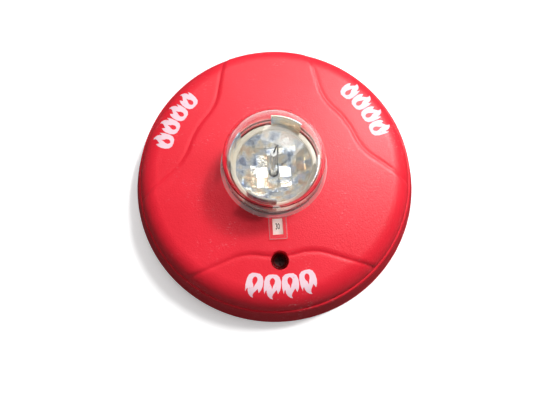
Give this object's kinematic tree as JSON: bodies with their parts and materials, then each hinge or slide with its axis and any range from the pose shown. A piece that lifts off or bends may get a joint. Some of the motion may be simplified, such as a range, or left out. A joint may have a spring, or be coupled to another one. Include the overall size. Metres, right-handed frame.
{
  "type": "horn strobe",
  "caption": "Round ceiling horn strobe: red housing with a clear strobe dome and selector window, hinged on a mounting plate and held by a captive screw.",
  "frame": {"origin": "centre of the mounting face at the back", "axes": "+Z out of the ceiling or wall towards the dome, -Y towards the selector window and the captive screw"},
  "size_m": [0.173, 0.1722, 0.058],
  "materials": {
    "red_plastic": "fine moulded grain",
    "clear_plastic": "clear polycarbonate",
    "metallised": "vacuum metallised",
    "tube_glass": "clear glass",
    "steel": "zinc plated",
    "dark_steel": "black zinc",
    "brass": "plain brass",
    "ceramic": "fired ceramic with silvered face",
    "board_green": "solder resist",
    "black_plastic": "satin",
    "cream_plastic": "satin",
    "label_cream": "printed label",
    "grey_plastic": "satin",
    "rubber_seal": "soft foam",
    "copper_winding": "enamelled copper wire on a ferrite core",
    "blue_sleeve": "shrink sleeve",
    "red_wire": "wire insulation"
  },
  "bodies": {
    "plate": {"mounting_plate": "cream_plastic", "screw_insert": "brass", "terminal_block": "cream_plastic", "terminal_contacts": "brass", "clamp_plates": "steel", "terminal_screws": "steel", "shorting_spring": "brass"},
    "head": {"housing": "red_plastic", "lens": "clear_plastic", "reflector": "metallised", "flash_tube": "tube_glass", "tube_caps": "dark_steel", "return_lead": "dark_steel", "circuit_board": "board_green", "flash_capacitor": "blue_sleeve", "boost_inductor": "copper_winding", "trigger_coil": "copper_winding", "control_chips": "black_plastic", "rectifier_diodes": "black_plastic", "chip_resistors": "black_plastic", "piezo_disc": "brass", "piezo_ceramic": "ceramic", "horn_chamber": "grey_plastic", "horn_gasket": "rubber_seal", "piezo_leads": "red_wire", "rear_cover": "black_plastic", "cover_screws": "steel", "board_screws": "steel", "contact_blades": "brass", "candela_guide": "cream_plastic", "tone_switch_body": "blue_sleeve", "screw_retainer": "grey_plastic"},
    "selector": {"candela_slider": "cream_plastic", "candela_label": "label_cream"},
    "tone_dial": {"tone_rotor": "cream_plastic"},
    "screw_washer": {"screw_washer": "steel"},
    "captive_screw": {"captive_screw": "dark_steel"}
  },
  "joints": [
    {"name": "head_swing", "type": "hinge", "parent": "plate", "child": "head", "pos_m": [0, 0.083, 0.0029], "axis": [-1, 0, 0], "range_deg": [0, 80]},
    {"name": "screw_lift", "type": "slide", "parent": "head", "child": "screw_washer", "axis": [0, 0, 1], "range_m": [0, 0.0055]},
    {"name": "screw_turn", "type": "hinge", "parent": "screw_washer", "child": "captive_screw", "pos_m": [0, -0.0524, 0.009], "axis": [0, 0, 1], "range_deg": [0, 2829]},
    {"name": "candela_slide", "type": "slide", "parent": "head", "child": "selector", "axis": [1, 0, 0], "range_m": [-0.0168, 0.0056]},
    {"name": "tone_turn", "type": "hinge", "parent": "head", "child": "tone_dial", "pos_m": [-0.042, -0.024, 0.006], "axis": [0, 0, 1], "range_deg": [0, 315]}
  ],
  "couplings": [
    {"joint": "screw_turn", "follows": "screw_lift", "rad_per_m": 8976}
  ]
}
